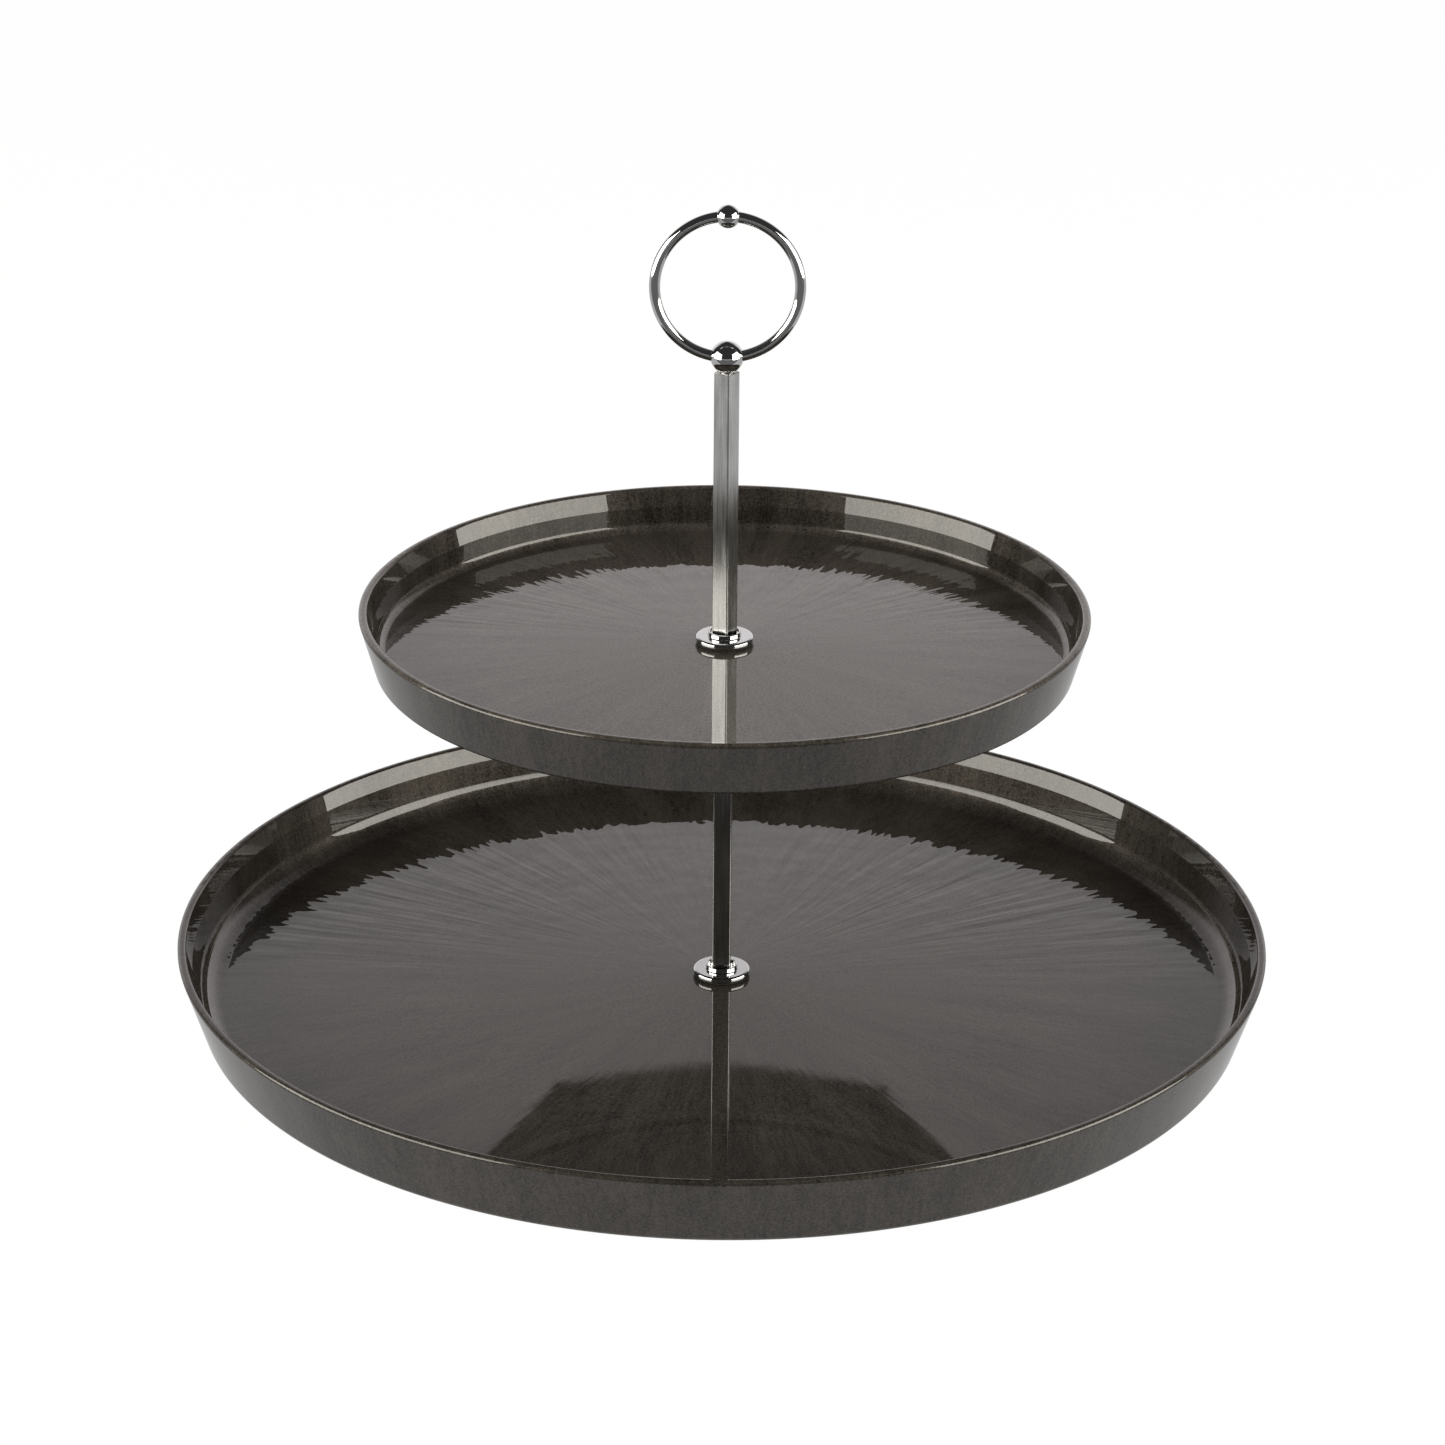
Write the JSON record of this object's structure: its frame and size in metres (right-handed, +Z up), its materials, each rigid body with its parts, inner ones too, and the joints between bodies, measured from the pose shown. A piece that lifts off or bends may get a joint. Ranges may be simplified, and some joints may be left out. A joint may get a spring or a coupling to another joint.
{
  "type": "tiered cake stand",
  "caption": "Cake stand with a smaller round rimmed tray above a larger one on a slim centre column, screwed together, with a ring handle on top.",
  "frame": {"origin": "centre of the lower tray's foot ring, on the plane it stands on", "axes": "+Z up the column, X across the ring handle's flat circle, Y through the ring"},
  "size_m": [0.33, 0.33, 0.2478],
  "materials": {
    "tray_lacquer": "dark warm grey metallic with fine radial brush streaks under a mirror-gloss, slightly wavy clear coat",
    "chrome": "polished bright chrome plate",
    "satin_tube": "satin square metal tube with fine lengthwise drawing lines",
    "gasket": "matt black rubber",
    "zinc_plate": "zinc-plated steel"
  },
  "bodies": {
    "base": {"lower_tray": "tray_lacquer", "base_gasket": "gasket", "lower_gasket": "gasket"},
    "column": {"base_screw": "zinc_plate", "lower_flange": "chrome", "lower_post": "satin_tube", "lower_post_bottom_bush": "zinc_plate", "lower_post_top_bush": "zinc_plate", "support_flange": "chrome", "tier_stud": "zinc_plate", "upper_flange": "chrome", "upper_post": "satin_tube", "upper_post_bottom_bush": "zinc_plate", "upper_post_top_bush": "zinc_plate"},
    "upper_tier": {"upper_tray": "tray_lacquer", "support_gasket": "gasket", "upper_gasket": "gasket"},
    "handle_thread": {"handle_stud": "zinc_plate"},
    "handle": {"handle_ball": "chrome", "handle_ring": "chrome", "handle_bead": "chrome"}
  },
  "joints": [
    {"name": "column_turn", "type": "hinge", "parent": "base", "child": "column", "pos_m": [0, 0, 0.0046], "axis": [0, 0, 1], "continuous": true},
    {"name": "upper_tray_turn", "type": "hinge", "parent": "column", "child": "upper_tier", "pos_m": [0, 0, 0.1137], "axis": [0, 0, 1], "continuous": true},
    {"name": "handle_rise", "type": "slide", "parent": "column", "child": "handle_thread", "axis": [0, 0, 1], "range_m": [0, 0.0063]},
    {"name": "handle_turn", "type": "hinge", "parent": "handle_thread", "child": "handle", "pos_m": [0, 0, 0.1978], "axis": [0, 0, 1], "range_deg": [0, 3240]}
  ],
  "couplings": [
    {"joint": "handle_rise", "follows": "handle_turn", "m_per_rad": 0.00011141}
  ]
}
